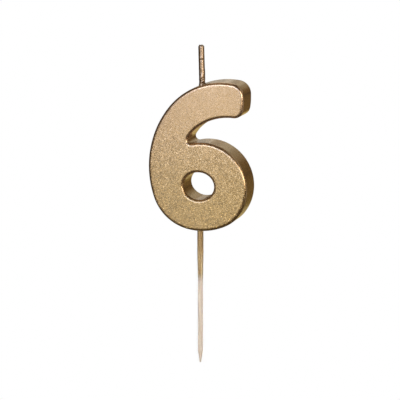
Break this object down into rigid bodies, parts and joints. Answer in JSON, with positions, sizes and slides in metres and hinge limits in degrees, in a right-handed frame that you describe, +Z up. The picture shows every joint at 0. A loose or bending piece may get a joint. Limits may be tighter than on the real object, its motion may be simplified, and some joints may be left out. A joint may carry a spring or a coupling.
{
  "type": "number birthday candle",
  "caption": "Moulded wax digit candle in satin gold lacquer with a short twisted cotton wick, on a slim pointed wooden pick for pushing into a cake.",
  "frame": {"origin": "on the pick's axis at the lower end of the lacquer, which is the cake's surface in use", "axes": "+Z up along the pick towards the wick, +X to the right of the digit as it is read, +Y from the digit's front face to its back face"},
  "size_m": [0.041, 0.012, 0.1302],
  "materials": {
    "wax": "plain cast paraffin wax, off-white and slightly translucent",
    "gold_lacquer": "satin gold lacquer with fine metal flake",
    "cotton": "bleached cotton yarn soaked in wax",
    "pick_wood": "plain pale wood, sanded smooth"
  },
  "bodies": {
    "root": {"wax_body": "wax", "body_lacquer": "gold_lacquer", "wick_yarn_a": "cotton", "wick_yarn_b": "cotton", "wick_yarn_c": "cotton", "wick_wax": "wax", "wick_lacquer": "gold_lacquer", "pick": "pick_wood", "pick_lacquer": "gold_lacquer"}
  },
  "joints": []
}
